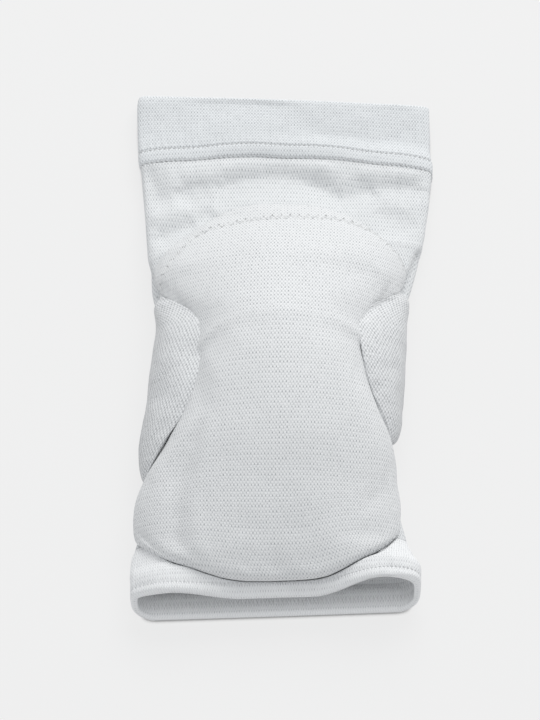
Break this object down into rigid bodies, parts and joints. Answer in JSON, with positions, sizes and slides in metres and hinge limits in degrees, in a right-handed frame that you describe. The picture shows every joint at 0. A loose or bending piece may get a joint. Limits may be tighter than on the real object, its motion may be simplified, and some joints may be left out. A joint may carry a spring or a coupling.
{
  "type": "volleyball knee pad",
  "caption": "Knitted sleeve knee pad with a raised front pad, a smaller pad at each side and hemmed bands at the thigh and the shin, lying on its back.",
  "frame": {"origin": "middle of the footprint, on the surface the pad lies on", "axes": "+Y along the sleeve towards the thigh, +X across the knee, +Z out through the front of the knee"},
  "size_m": [0.1294, 0.2414, 0.0462],
  "materials": {
    "band_knit": "white elastic rib knit",
    "sleeve_knit": "white elastic knit",
    "pad_knit": "white close knit over foam",
    "mesh_knit": "white open mesh knit over foam"
  },
  "bodies": {
    "root": {"thigh_band": "band_knit", "sleeve": "sleeve_knit", "shin_band": "band_knit", "front_pad": "pad_knit", "side_pad_left": "mesh_knit", "side_pad_right": "mesh_knit"}
  },
  "joints": []
}
